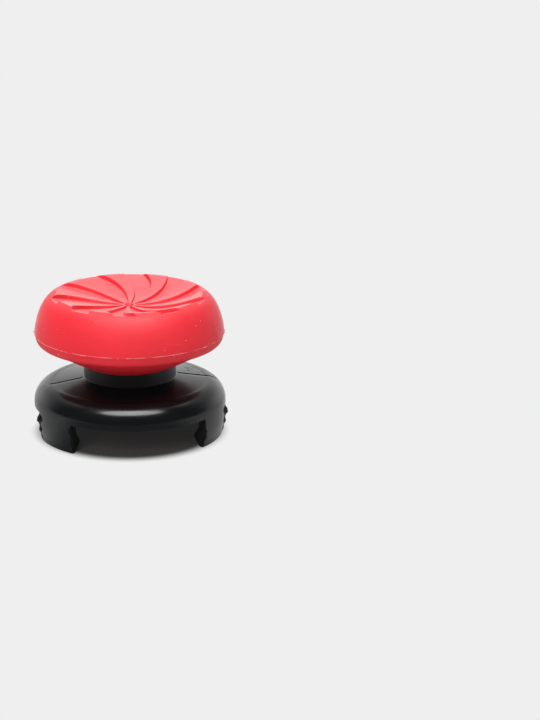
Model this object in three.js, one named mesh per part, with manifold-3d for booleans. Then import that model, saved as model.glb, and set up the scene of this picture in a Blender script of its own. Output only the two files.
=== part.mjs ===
// Controller thumb grip: a soft mushroom head on a hard clip that snaps over a stick cap.
// Millimetres, +Z up. The origin is on the axis, level with the feet of the prongs.
// The middle of one gap between the prongs faces -Y.
import * as THREE from 'three';
import { mergeVertices } from 'three/addons/utils/BufferGeometryUtils.js';
import Module from 'manifold-3d';

const wasm = await Module();
wasm.setup();

// Clip base, outside
const BASE_RADIUS = 10.7;
const BASE_WIDEST_Z = 3.7;
const FOOT_INSET = 0.39;
const SKIRT_BULGE = 2.9;
const DECK_EDGE_RADIUS = 8.5;
const DECK_EDGE_Z = 5.9;
const DECK_RISE = 0.55;
const DECK_ROUND_OUT = 1.2;
const DECK_ROUND_UP = 0.8;

// Clip base, inside
const SKIRT_WALL = 0.95;
const SOCKET_DEPTH = 4.4;
const SOCKET_CORNER = 0.4;
const BARB_REACH = 0.7;
const BARB_TIP_Z = 1.15;
const BARB_TOP_Z = 2.3;
const FOOT_WIDTH = 0.45;

// Prongs
const PRONG_COUNT = 3;
const PRONG_ANGLE = THREE.MathUtils.degToRad(32);
const PRONG_HEIGHT = 3.35;
const FLASH_THICKNESS = 0.3;

// Ragged flash round the prongs' ends: shares of their height, and how far it stands out there.
// The ends take these in turn, going round from the front end of the prong on the +X side.
const FLASH_EDGES = [
  [[0.15, 0.03], [0.4, 0.26], [0.6, 0.22], [0.8, 0.05], [0.95, 0.02]],
  [[0.3, 0.03], [0.4, 0.16], [0.6, 0.08], [0.72, 0.3], [0.9, 0.24]],
  [[0.2, 0.02], [0.45, 0.09], [0.65, 0.03], [0.83, 0.27], [0.95, 0.06]],
];

// Stem and the anchor disc that the head is moulded over
const STEM_RADIUS = 5.13;
const STEM_FILLET = 0.35;
const ANCHOR_RADIUS = 7.4;
const ANCHOR_Z = 10.2;
const ANCHOR_THICKNESS = 1.4;
const NECK_CLEARANCE = 0.27;
const ANCHOR_CLEARANCE = 0.3;

// Head, outside. It is a little narrower than the base.
const HEAD_INSET = 0.15;
const FLASH_LINE_Z = 11.58;
const CROWN_RADIUS = 6.33;
const CROWN_Z = 16.08;
const SHOULDER_ROUND_OUT = 0.554;
const SHOULDER_ROUND_UP = 1.392;
const RIM_DRAFT = 0.12;
const RIM_FILLET = 0.4;
const RIM_LOWEST_Z = 10.33;
const HEAD_LOWEST_Z = 8.0;

// Tread: a shallow dish with curved grooves that run out through its edge
const TREAD_RADIUS = 8.0;
const DISH_DEPTH = 1.4;
const BOSS_RADIUS = 0.42;
const BOSS_HEIGHT = 0.12;
const GROOVE_COUNT = 10;
const GROOVE_START_RADIUS = 0.75;
const GROOVE_START_DEPTH = 0.15;
const GROOVE_EDGE_DEPTH = 0.48;
const GROOVE_DEPTH_POWER = 1.6;
const GROOVE_FIRST_ANGLE = THREE.MathUtils.degToRad(51);
const GROOVE_ANGLE = THREE.MathUtils.degToRad(19);
const GROOVE_NEAR_SWEEP = THREE.MathUtils.degToRad(18);
const GROOVE_NEAR_POWER = 2.6;
const GROOVE_FAR_SWEEP = THREE.MathUtils.degToRad(17);
const GROOVE_FAR_POWER = 1.7;

// Fineness
const TURN_STEPS = 60;
const SHOULDER_STEPS = 9;
const DECK_STEPS = 9;
const SKIRT_STEPS = 4;
const FILLET_STEPS = 3;
const DISH_STEPS = 8;
const GROOVE_STEPS = 12;
const GAP_STEPS = 12;
const WELD = 1e-5;
const CUT_MARGIN = 1.5;

const RUBBER = { color: 0xe23444, roughness: 0.55, metalness: 0 };
const HARD_PLASTIC = { color: 0x16171a, roughness: 0.22, metalness: 0 };

const FULL_TURN = 2 * Math.PI;
const QUARTER_TURN = Math.PI / 2;

// A closed geometry becomes a solid once its shared corners are one corner each.
function solidOf(geometry) {
  geometry.deleteAttribute('normal');
  geometry.deleteAttribute('uv');
  const welded = mergeVertices(geometry, WELD);
  const corners = welded.index.array;
  const kept = [];
  for (let i = 0; i < corners.length; i += 3) {
    const [a, b, c] = [corners[i], corners[i + 1], corners[i + 2]];
    if (a !== b && b !== c && c !== a) kept.push(a, b, c);
  }
  return new wasm.Manifold(new wasm.Mesh({
    numProp: 3,
    vertProperties: new Float32Array(welded.attributes.position.array),
    triVerts: new Uint32Array(kept),
  }));
}

function meshOf(solid, name, finish) {
  const { vertProperties, triVerts } = solid.getMesh();
  const geometry = new THREE.BufferGeometry();
  geometry.setAttribute('position', new THREE.BufferAttribute(vertProperties, 3));
  geometry.setIndex(new THREE.BufferAttribute(triVerts, 1));
  geometry.computeVertexNormals();
  const mesh = new THREE.Mesh(geometry, new THREE.MeshStandardMaterial(finish));
  mesh.name = name;
  return mesh;
}

// Turns an outline of [radius, height] points about the Z axis.
function turned(outline) {
  const points = outline.map(([radius, height]) => new THREE.Vector2(radius, height));
  const geometry = new THREE.LatheGeometry(points, TURN_STEPS);
  geometry.rotateX(QUARTER_TURN);
  return solidOf(geometry);
}

// Raises a flat outline of [x, y] points from one height to another.
function raised(outline, bottom, top) {
  const shape = new THREE.Shape(outline.map(([x, y]) => new THREE.Vector2(x, y)));
  const geometry = new THREE.ExtrudeGeometry(shape, { depth: top - bottom, bevelEnabled: false });
  geometry.translate(0, 0, bottom);
  return solidOf(geometry);
}

// Points from start to end of a fraction that goes from 0 to 1.
function along(steps, pointAt) {
  return Array.from({ length: steps + 1 }, (_, i) => pointAt(i / steps));
}

function polar(radius, angle) {
  return [radius * Math.cos(angle), radius * Math.sin(angle)];
}

// Clip base
const footRadius = BASE_RADIUS - FOOT_INSET;
const socketRadius = BASE_RADIUS - SKIRT_WALL;
const deckInnerZ = DECK_EDGE_Z + DECK_RISE;
const anchorTopZ = ANCHOR_Z + ANCHOR_THICKNESS;

function skirtRadius(height) {
  const below = Math.max(0, 1 - height / BASE_WIDEST_Z);
  return footRadius + FOOT_INSET * (1 - below ** SKIRT_BULGE);
}

function skirtOutline() {
  return along(SKIRT_STEPS, (f) => [skirtRadius(f * BASE_WIDEST_Z), f * BASE_WIDEST_Z]);
}

function deckOutline() {
  return along(DECK_STEPS, (f) => [
    DECK_EDGE_RADIUS + (BASE_RADIUS - DECK_EDGE_RADIUS) * Math.cos(f * QUARTER_TURN) ** DECK_ROUND_OUT,
    BASE_WIDEST_Z + (DECK_EDGE_Z - BASE_WIDEST_Z) * Math.sin(f * QUARTER_TURN) ** DECK_ROUND_UP,
  ]);
}

function stemFootOutline() {
  return along(FILLET_STEPS, (f) => [
    STEM_RADIUS + STEM_FILLET * (1 - Math.sin(f * QUARTER_TURN)),
    deckInnerZ + STEM_FILLET * (1 - Math.cos(f * QUARTER_TURN)),
  ]);
}

// The section of a prong, inside the skirt: wall, hook and chamfered lead-in.
function hookOutline() {
  return [
    [socketRadius, BARB_TOP_Z],
    [socketRadius - BARB_REACH, BARB_TIP_Z],
    [footRadius - FOOT_WIDTH, 0],
  ];
}

function clipBody() {
  return turned([
    [0, SOCKET_DEPTH],
    [socketRadius - SOCKET_CORNER, SOCKET_DEPTH],
    [socketRadius, SOCKET_DEPTH - SOCKET_CORNER],
    ...hookOutline(),
    ...skirtOutline(),
    ...deckOutline().slice(1),
    ...stemFootOutline(),
    [STEM_RADIUS, ANCHOR_Z],
    [ANCHOR_RADIUS, ANCHOR_Z],
    [ANCHOR_RADIUS, anchorTopZ],
    [0, anchorTopZ],
  ]);
}

function prongMiddle(index) {
  return -QUARTER_TURN + (index + 0.5) * FULL_TURN / PRONG_COUNT;
}

// One gap: everything below the prongs' roots, from one prong's end to the next one's.
function gapCutter(index) {
  const start = prongMiddle(index) + PRONG_ANGLE / 2;
  const end = prongMiddle(index + 1) - PRONG_ANGLE / 2;
  const reach = BASE_RADIUS + CUT_MARGIN;
  const arc = along(GAP_STEPS, (f) => polar(reach, start + f * (end - start)));
  return raised([[0, 0], ...arc], -CUT_MARGIN, PRONG_HEIGHT);
}

function flashPlate(index, side) {
  const turnInOrder = 2 * index + (side > 0 ? 1 : 0);
  const edge = FLASH_EDGES[turnInOrder % FLASH_EDGES.length];
  const outer = edge.map(([share, out]) => {
    const height = share * PRONG_HEIGHT;
    return [skirtRadius(height) + out, height];
  });
  const outline = [
    [socketRadius, PRONG_HEIGHT],
    ...hookOutline(),
    [footRadius, 0],
    ...outer,
    [skirtRadius(PRONG_HEIGHT), PRONG_HEIGHT],
  ];
  const shape = new THREE.Shape(outline.map(([radius, height]) => new THREE.Vector2(radius, height)));
  const geometry = new THREE.ExtrudeGeometry(shape, { depth: FLASH_THICKNESS, bevelEnabled: false });
  geometry.rotateX(QUARTER_TURN);
  const inward = side < 0 ? FLASH_THICKNESS : 0;
  geometry.translate(0, inward, 0);
  geometry.rotateZ(prongMiddle(index) + side * PRONG_ANGLE / 2);
  return solidOf(geometry);
}

function clipBase() {
  let solid = clipBody();
  for (let index = 0; index < PRONG_COUNT; index += 1) {
    solid = solid.subtract(gapCutter(index));
  }
  for (let index = 0; index < PRONG_COUNT; index += 1) {
    solid = solid.add(flashPlate(index, -1)).add(flashPlate(index, 1));
  }
  return solid;
}

// Head
const headRadius = BASE_RADIUS - HEAD_INSET;
const neckHoleRadius = STEM_RADIUS + NECK_CLEARANCE;
const cavityRadius = ANCHOR_RADIUS + ANCHOR_CLEARANCE;
const cavityBottomZ = ANCHOR_Z - ANCHOR_CLEARANCE;

// The shoulder rises from the flash line towards the crown; the dish cuts it off.
function shoulderPoint(turn) {
  return [
    CROWN_RADIUS + (headRadius - CROWN_RADIUS) * Math.cos(turn) ** SHOULDER_ROUND_OUT,
    FLASH_LINE_Z + (CROWN_Z - FLASH_LINE_Z) * Math.sin(turn) ** SHOULDER_ROUND_UP,
  ];
}

const edgeShare = (TREAD_RADIUS - CROWN_RADIUS) / (headRadius - CROWN_RADIUS);
const edgeTurn = Math.acos(edgeShare ** (1 / SHOULDER_ROUND_OUT));
const treadEdgeZ = shoulderPoint(edgeTurn)[1];
const dishCentreZ = treadEdgeZ - DISH_DEPTH;
const grooveReach = TREAD_RADIUS + CUT_MARGIN;

function dishZ(radius) {
  return dishCentreZ + DISH_DEPTH * (radius / TREAD_RADIUS) ** 2;
}

function grooveDepth(radius) {
  const outward = (radius / TREAD_RADIUS) ** GROOVE_DEPTH_POWER;
  return GROOVE_START_DEPTH + (GROOVE_EDGE_DEPTH - GROOVE_START_DEPTH) * outward;
}

function headBody() {
  const rimRadius = headRadius - RIM_DRAFT;
  return turned([
    [0, anchorTopZ],
    [cavityRadius, anchorTopZ],
    [cavityRadius, cavityBottomZ],
    [neckHoleRadius, cavityBottomZ],
    [neckHoleRadius, HEAD_LOWEST_Z],
    ...along(FILLET_STEPS, (f) => [
      rimRadius - RIM_FILLET * (1 - Math.sin(f * QUARTER_TURN)),
      RIM_LOWEST_Z + RIM_FILLET * (1 - Math.cos(f * QUARTER_TURN)),
    ]),
    ...along(SHOULDER_STEPS, (f) => shoulderPoint(f * edgeTurn)),
    ...along(DISH_STEPS, (f) => [TREAD_RADIUS * (1 - f), dishZ(TREAD_RADIUS * (1 - f))]).slice(1),
  ]);
}

function boss() {
  return turned([
    [0, dishCentreZ - BOSS_HEIGHT],
    [BOSS_RADIUS, dishCentreZ - BOSS_HEIGHT],
    [BOSS_RADIUS, dishCentreZ + BOSS_HEIGHT],
    [0, dishCentreZ + BOSS_HEIGHT],
  ]);
}

// Everything above the floors of the grooves.
function aboveGrooveFloors() {
  const floor = along(DISH_STEPS, (f) => {
    const radius = f * grooveReach;
    return [radius, dishZ(radius) - grooveDepth(radius)];
  });
  return turned([...floor, [grooveReach, CROWN_Z + CUT_MARGIN], [0, CROWN_Z + CUT_MARGIN]]);
}

// The plan of one groove lies between two curves that bend the same way.
function groovePlan(index) {
  const start = GROOVE_FIRST_ANGLE + index * FULL_TURN / GROOVE_COUNT;
  const radiusAt = (f) => GROOVE_START_RADIUS + f * (grooveReach - GROOVE_START_RADIUS);
  const near = along(GROOVE_STEPS, (f) => {
    const radius = radiusAt(f);
    return polar(radius, start + GROOVE_NEAR_SWEEP * (radius / TREAD_RADIUS) ** GROOVE_NEAR_POWER);
  });
  const far = along(GROOVE_STEPS, (f) => {
    const radius = radiusAt(f);
    const sweep = GROOVE_FAR_SWEEP * (radius / TREAD_RADIUS) ** GROOVE_FAR_POWER;
    return polar(radius, start + GROOVE_ANGLE + sweep);
  });
  return [...near, ...far.reverse()];
}

function gripHead() {
  let solid = headBody();
  const above = aboveGrooveFloors();
  for (let index = 0; index < GROOVE_COUNT; index += 1) {
    const prism = raised(groovePlan(index), dishCentreZ - CUT_MARGIN, CROWN_Z + CUT_MARGIN);
    solid = solid.subtract(prism.intersect(above));
  }
  return solid.add(boss());
}

const thumbGrip = new THREE.Group();
thumbGrip.add(meshOf(clipBase(), 'clip_base', HARD_PLASTIC));
thumbGrip.add(meshOf(gripHead(), 'grip_head', RUBBER));

export default thumbGrip;
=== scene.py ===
"""Dresses a controller thumb grip: a moulded rubber head on a glossy hard clip.

Metres, +Z up. The origin is on the grip's axis, level with the feet of its prongs.
"""

import math

import bmesh
import bpy
import numpy as np
from bpy.props import FloatProperty, FloatVectorProperty, IntProperty, PointerProperty
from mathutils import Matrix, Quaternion, Vector, noise


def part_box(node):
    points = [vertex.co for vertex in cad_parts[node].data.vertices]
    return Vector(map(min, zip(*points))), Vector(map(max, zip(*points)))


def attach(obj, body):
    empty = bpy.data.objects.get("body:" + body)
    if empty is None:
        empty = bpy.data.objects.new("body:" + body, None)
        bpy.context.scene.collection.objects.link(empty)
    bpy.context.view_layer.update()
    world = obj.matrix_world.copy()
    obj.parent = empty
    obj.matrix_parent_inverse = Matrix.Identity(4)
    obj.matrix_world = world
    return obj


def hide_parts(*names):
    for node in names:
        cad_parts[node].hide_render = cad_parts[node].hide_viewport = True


bl_info = {
    "name": "Thumb grip",
    "version": (1, 0, 0),
    "blender": (4, 5, 0),
    "location": "View3D > Sidebar > Thumb Grip",
    "description": "Builds a controller thumb grip: a moulded rubber head on a hard clip",
    "category": "Add Mesh",
}

MM = 0.001

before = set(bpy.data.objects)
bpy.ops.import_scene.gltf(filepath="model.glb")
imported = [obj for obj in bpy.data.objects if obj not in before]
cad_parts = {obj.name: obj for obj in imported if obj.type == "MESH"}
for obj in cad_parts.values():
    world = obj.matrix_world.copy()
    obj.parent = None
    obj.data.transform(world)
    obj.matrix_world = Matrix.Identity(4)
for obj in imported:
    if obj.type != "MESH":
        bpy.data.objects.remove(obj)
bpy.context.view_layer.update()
CLIP_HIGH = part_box("clip_base")[1]
HEAD_LOW, HEAD_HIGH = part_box("grip_head")


def length(name, description, default):
    """A length that the panel shows."""
    return FloatProperty(
        name=name, description=description, default=default, unit="LENGTH", precision=5
    )


def angle(name, description, degrees):
    """An angle that the panel shows."""
    return FloatProperty(
        name=name, description=description, default=math.radians(degrees), subtype="ANGLE"
    )


def number(name, description, default):
    """A plain number that the panel shows."""
    return FloatProperty(name=name, description=description, default=default)


def colour(name, description, default):
    """A colour that the panel shows, as linear red, green and blue."""
    return FloatVectorProperty(
        name=name, description=description, default=default, subtype="COLOR", min=0, max=1
    )


def factor(name, description, default):
    """A share from 0 to 1 that the panel shows."""
    return FloatProperty(
        name=name, description=description, default=default, min=0, max=1, subtype="FACTOR"
    )


class HeadSizes(bpy.types.PropertyGroup):
    """The outside of the moulded head."""

    radius: length("Radius", "Radius at the flash line", HEAD_HIGH.x)
    flash_z: length("Flash line height", "Height of the widest place", 11.58 * MM)
    crown_radius: length("Crown radius", "Where the shoulder would level out", 6.33 * MM)
    crown_z: length("Crown height", "Height that the shoulder would reach", 16.08 * MM)
    round_out: number("Shoulder round out", "Power of its reach", 0.554)
    round_up: number("Shoulder round up", "Power of its rise", 1.392)
    rim_draft: length("Rim draft", "How far the lower half is drawn in", 0.12 * MM)
    rim_fillet: length("Rim fillet", "Radius of the lower rim's edge", 0.85 * MM)
    rim_lowest_z: length("Rim height", "Height of the lower rim", 10.33 * MM)
    lowest_z: length("Lip height", "Height of the lip that meets the stem", HEAD_LOW.z)
    lip_round: length("Lip round", "Rounding of the lip", 0.14 * MM)
    neck_clearance: length("Neck clearance", "Gap between the lip and the stem", 0.03 * MM)
    cavity_radius: length("Cavity radius", "Radius of the space for the anchor disc", 7.7 * MM)
    cavity_z: length("Cavity height", "Lowest height of that space", 9.9 * MM)
    flash_height: length("Flash height", "How far the flash line stands out", 0.035 * MM)
    flash_width: length("Flash width", "How wide the flash line is", 0.1 * MM)


class TreadSizes(bpy.types.PropertyGroup):
    """The dished top with its curved grooves."""

    radius: length("Radius", "Radius of the dish", 8.0 * MM)
    dish_depth: length("Dish depth", "How far the middle lies below the edge", 1.4 * MM)
    boss_radius: length("Boss radius", "Radius of the boss in the middle", 0.5 * MM)
    boss_height: length("Boss height", "Height of the boss", 0.22 * MM)
    groove_count: IntProperty(name="Grooves", description="How many grooves", default=10)
    start_radius: length("Groove start", "Radius where the grooves start", 0.75 * MM)
    start_depth: length("Start depth", "Depth of a groove at the middle", 0.2 * MM)
    edge_depth: length("Edge depth", "Depth of a groove at the edge", 0.48 * MM)
    depth_power: number("Depth power", "How late a groove deepens", 0.9)
    first_angle: angle("First groove", "Where the first groove starts", 51)
    groove_angle: angle("Groove width", "Width of a groove at the middle", 19)
    near_sweep: angle("Near sweep", "How far its first edge turns", 18)
    near_power: number("Near power", "How late it turns", 2.6)
    far_sweep: angle("Far sweep", "How far its second edge turns", 17)
    far_power: number("Far power", "How late it turns", 1.7)
    edge_round: length("Edge round", "Rounding of the grooves' edges", 0.08 * MM)
    edge_roll: length("Edge roll", "How softly the dish rolls over into the shoulder", 0.1 * MM)


class ClipSizes(bpy.types.PropertyGroup):
    """The hard clip that pushes over the stick."""

    radius: length("Radius", "Radius at the widest place", CLIP_HIGH.x)
    widest_z: length("Widest height", "Height of the widest place", 3.7 * MM)
    foot_inset: length("Foot inset", "How far the feet are drawn in", 0.39 * MM)
    skirt_bulge: number("Skirt bulge", "Power of its curve", 2.9)
    deck_radius: length("Deck radius", "Radius of the deck's edge", 8.5 * MM)
    deck_z: length("Deck height", "Height of the deck's edge", 5.9 * MM)
    deck_rise: length("Deck rise", "How far the deck rises to the stem", 0.55 * MM)
    round_out: number("Deck round out", "Power of its reach", 1.0)
    round_up: number("Deck round up", "Power of its rise", 1.0)
    wall: length("Skirt wall", "Thickness of the skirt", 0.95 * MM)
    socket_depth: length("Socket depth", "Height of the socket's ceiling", 4.4 * MM)
    socket_corner: length("Socket corner", "Rounding of the socket's corner", 0.4 * MM)
    barb_reach: length("Barb reach", "How far the hooks reach in", 0.7 * MM)
    barb_tip_z: length("Barb tip height", "Height of the hooks' tips", 1.15 * MM)
    barb_top_z: length("Barb top height", "Height of the hooks' tops", 2.3 * MM)
    foot_width: length("Foot width", "Width of the feet", 0.45 * MM)
    stem_radius: length("Stem radius", "Radius of the stem", 5.13 * MM)
    stem_fillet: length("Stem fillet", "Fillet between stem and deck", 0.1 * MM)
    anchor_radius: length("Anchor radius", "Radius of the disc in the head", 7.4 * MM)
    anchor_z: length("Anchor height", "Lowest height of that disc", 10.2 * MM)
    parting_depth: length("Parting depth", "Height of the ledge across the deck", 0.06 * MM)
    parting_width: length("Parting width", "Width of the ledge across the deck", 0.02 * MM)
    parting_fade: length("Parting fade", "How far the deck dips in front of it", 0.5 * MM)
    parting_turn: angle("Parting turn", "How far that line is turned", 1.5)


class ProngSizes(bpy.types.PropertyGroup):
    """The prongs and the ragged flash round their ends."""

    count: IntProperty(name="Prongs", description="How many prongs", default=3)
    sweep: angle("Prong width", "How far a prong runs round the skirt", 32)
    height: length("Prong height", "Height of the gaps between the prongs", 3.35 * MM)
    flash_width: length("Flash width", "How far the flash can reach along a prong", 0.4 * MM)
    torn_width: length("Torn width", "Width of a torn end where no flash stands out", 0.06 * MM)


class Finish(bpy.types.PropertyGroup):
    """Colours and gloss of the two mouldings."""

    rubber: colour("Rubber", "Colour of the head", (0.82, 0.016, 0.03))
    rubber_dark: colour("Rubber, dark", "Colour of its darker patches", (0.78, 0.014, 0.027))
    rubber_roughness: factor("Rubber roughness", "Satin finish of the head", 0.55)
    # Painted sheen: the paler colour that the head's upward faces are mixed towards, and how much
    # of it they get
    rubber_painted_sheen: colour("Rubber, painted sheen", "Colour of the bloom on top", (0.95, 0.46, 0.48))
    painted_sheen: factor("Painted sheen", "How much of the bloom the head's top has", 0.18)
    skin_roughness: factor("Skin roughness", "Gloss of the smooth skin in the dish", 0.28)
    skin_ior: number("Skin IOR", "How strongly that skin mirrors", 1.6)
    sheen: factor("Sheen", "Pale edge of the upper half", 0.38)
    sheen_roughness: factor("Sheen roughness", "How far the sheen spreads", 0.25)
    plastic: colour("Plastic", "Colour of the clip", (0.004, 0.0045, 0.005))
    plastic_roughness: factor("Plastic roughness", "Gloss of the clip", 0.19)
    stem_roughness: factor("Stem roughness", "Duller finish of the stem", 0.42)
    torn: colour("Torn plastic", "Colour of the prongs' ends", (0.008, 0.009, 0.01))
    torn_roughness: factor("Torn roughness", "Finish of the prongs' ends", 0.6)
    dust: colour("Dust", "Colour of dust and scratches on the rubber", (0.85, 0.62, 0.6))
    pale_dust: colour("Pale dust", "Colour of dust on the plastic", (0.5, 0.5, 0.5))


class Wear(bpy.types.PropertyGroup):
    """Dust, scratches and scuffs of the two mouldings."""

    rubber_spacing: length("Rubber dust spacing", "Distance between its specks", 0.85 * MM)
    rubber_speck: length("Rubber speck", "Radius of a speck on the rubber", 0.06 * MM)
    rubber_share: factor("Rubber dust share", "Share of the places that hold a speck", 0.8)
    rubber_hair_spacing: length("Rubber scratch spacing", "Distance between scratches", 5 * MM)
    rubber_hair_width: number("Rubber scratch width", "Width in steps of the noise", 0.004)
    rubber_hair_share: factor("Rubber scratch share", "Share of the surface", 0.42)
    plastic_spacing: length("Plastic dust spacing", "Distance between its specks", 1.6 * MM)
    plastic_speck: length("Plastic speck", "Radius of a speck on the plastic", 0.045 * MM)
    plastic_hair_spacing: length("Plastic scratch spacing", "Distance between scratches", 2.4 * MM)
    plastic_hair_width: number("Plastic scratch width", "Width in steps of the noise", 0.012)
    plastic_hair_share: factor("Plastic scratch share", "Share of the surface", 0.55)
    scuff_place: FloatVectorProperty(
        name="Scuff place", description="Middle of the scuffed patch",
        default=(8.2 * MM, 1.6 * MM, 5.8 * MM), unit="LENGTH",
    )
    scuff_inner: length("Scuffs, inner", "Where the scuffs start to thin out", 1.6 * MM)
    scuff_outer: length("Scuffs, outer", "Where the scuffs end", 3.2 * MM)


class StageSettings(bpy.types.PropertyGroup):
    """The camera, floor and lights."""

    camera_x: length("Camera X", "Camera position, across", -27.53 * MM)
    camera_y: length("Camera Y", "Camera position, along", -253.9 * MM)
    camera_z: length("Camera Z", "Camera position, up", 87.67 * MM)
    camera_turn: angle("Camera turn", "How far it looks to the right of +Y", 9.7)
    camera_dip: angle("Camera dip", "How far it looks down", 17.306)
    camera_roll: angle("Camera roll", "How far it leans to its left", 0.41)
    lens: number("Lens", "Focal length in mm on a 36 mm frame", 119.612)
    front_turn: angle("Studio front", "How far the dim front is turned from -Y towards -X", 9.7)
    pale: colour("Backdrop", "Colour of the floor away from the object", (0.863, 0.863, 0.863))
    # Painted shadow: the dark floor colour under the object, and the glow added in its darkest
    # place
    painted_shadow: colour("Painted shadow", "Colour of the floor under the object", (0.08, 0.075, 0.071))
    fill: colour("Shadow fill", "Light in the shadow's darkest place", (0.0155, 0.015, 0.0148))
    bounce: colour("Floor bounce", "Floor that lights the underside", (0.55, 0.55, 0.55))
    ambient: colour("Ambient light", "Even light from above", (0.43, 0.43, 0.43))
    ambient_low: colour("Low ambient light", "Even light from the sides", (0.34, 0.34, 0.34))
    far_floor: colour("Far floor", "Floor behind, as gloss shows it", (0.9, 0.9, 0.9))
    side_floor: colour("Side floor", "Floor beside, as gloss shows it", (0.62, 0.62, 0.62))
    near_floor: colour("Near floor", "Floor in front, as gloss shows it", (0.19, 0.2, 0.215))
    wall: colour("Wall", "Walls behind, as gloss shows them", (1.0, 1.0, 1.0))
    high_wall: colour("High wall", "Walls higher up, as gloss shows them", (0.45, 0.45, 0.45))
    screen: number("Screen", "Brightness of the screen high behind", 1.3)
    near_wall: colour("Near wall", "Wall in front, as gloss shows it", (0.07, 0.073, 0.078))
    # Where the painted shadow fades out to the pale floor, and how far it is moved to the front
    shadow_inner: length("Shadow, inner", "Where the floor starts to turn pale", 9.1 * MM)
    shadow_outer: length("Shadow, outer", "Where the floor is all pale", 11.4 * MM)
    shadow_shift: length("Shadow shift", "How far the shadow lies to the front", 0.05 * MM)


# Arithmetic

def lerp(a, b, share):
    return a + (b - a) * share


def ease(share):
    """A smooth step from 0 to 1."""
    held = np.clip(share, 0.0, 1.0)
    return held * held * (3 - 2 * held)


def shares(steps):
    """Even shares from 0 to 1."""
    return [step / steps for step in range(steps + 1)]


def soft_low(first, second, roll):
    """The lower of two heights, rounded off where they cross."""
    low = min(first, second)
    return low - roll * math.log1p(math.exp(-abs(first - second) / roll))


def circle_point(radius, turn, height):
    return (radius * math.cos(turn), radius * math.sin(turn), height)


def ragged(turn, fineness, seed):
    """Noise between about -1 and 1 round a circle, closed on itself."""
    return noise.noise(Vector(circle_point(fineness, turn, seed)))


# Meshes

WELD_DISTANCE = 1e-8
SHORTEST_EDGE = 1e-9
SHARP_EDGE = math.radians(38)


def mesh_from(name, points, faces, slots):
    """A smooth mesh from points and faces, with its shared corners welded."""
    mesh = bpy.data.meshes.new(name)
    mesh.from_pydata(points, [], faces)
    mesh.polygons.foreach_set("material_index", slots)
    work = bmesh.new()
    work.from_mesh(mesh)
    bmesh.ops.remove_doubles(work, verts=work.verts, dist=WELD_DISTANCE)
    bmesh.ops.dissolve_degenerate(work, edges=work.edges, dist=SHORTEST_EDGE)
    bmesh.ops.recalc_face_normals(work, faces=work.faces)
    work.to_mesh(mesh)
    work.free()
    mesh.shade_smooth()
    mesh.set_sharp_from_angle(angle=SHARP_EDGE)
    return mesh


class Patches:
    """Grids of points that are joined into one mesh where their borders meet."""

    def __init__(self):
        self.points = []
        self.faces = []
        self.slots = []

    def grid(self, rows, closed=False, slot=0, torn=None):
        """Adds rows of points.

        closed joins the last point of each row to its first; torn picks the faces for slot 1.
        """
        start = len(self.points)
        width = len(rows[0])
        for row in rows:
            self.points.extend(row)
        around = width if closed else width - 1
        for r in range(len(rows) - 1):
            for c in range(around):
                n = (c + 1) % width
                a = start + r * width
                b = a + width
                self.faces.append((a + c, a + n, b + n, b + c))
                self.slots.append(1 if torn and torn[r * around + c] else slot)

    def fan(self, row, tip, slot=0):
        """Closes a ring of points on one point."""
        start = len(self.points)
        self.points.extend(row)
        self.points.append(tip)
        last = start + len(row)
        for c in range(len(row)):
            self.faces.append((start + c, start + (c + 1) % len(row), last))
            self.slots.append(slot)

    def mesh(self, name):
        return mesh_from(name, self.points, self.faces, self.slots)


# Head

# Burrs on the flash line: degrees round it, half width in degrees, and reach in flash heights
BURRS = (
    (174, 1.6, 4.2), (168, 1.1, 2.4), (-13, 1.2, 4.6),
    (-8, 1.6, 3.0), (-46, 2.4, 1.4), (64, 1.5, 2.0),
)

# Waves along the flash line: strength in flash heights, fineness and seed
FLASH_WAVES = ((0.6, 9, 1.3), (0.5, 40, 4.1))
FLASH_MEAN = 0.55
FLASH_LEAST = 0.12

# The boss: shares of its radius and of its height
BOSS_SECTION = (
    (0.25, 0.97), (0.45, 0.9), (0.65, 0.77), (0.82, 0.6), (0.94, 0.38), (1.0, 0.15), (1.04, 0.0),
    (1.25, 0.0),
)


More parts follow.
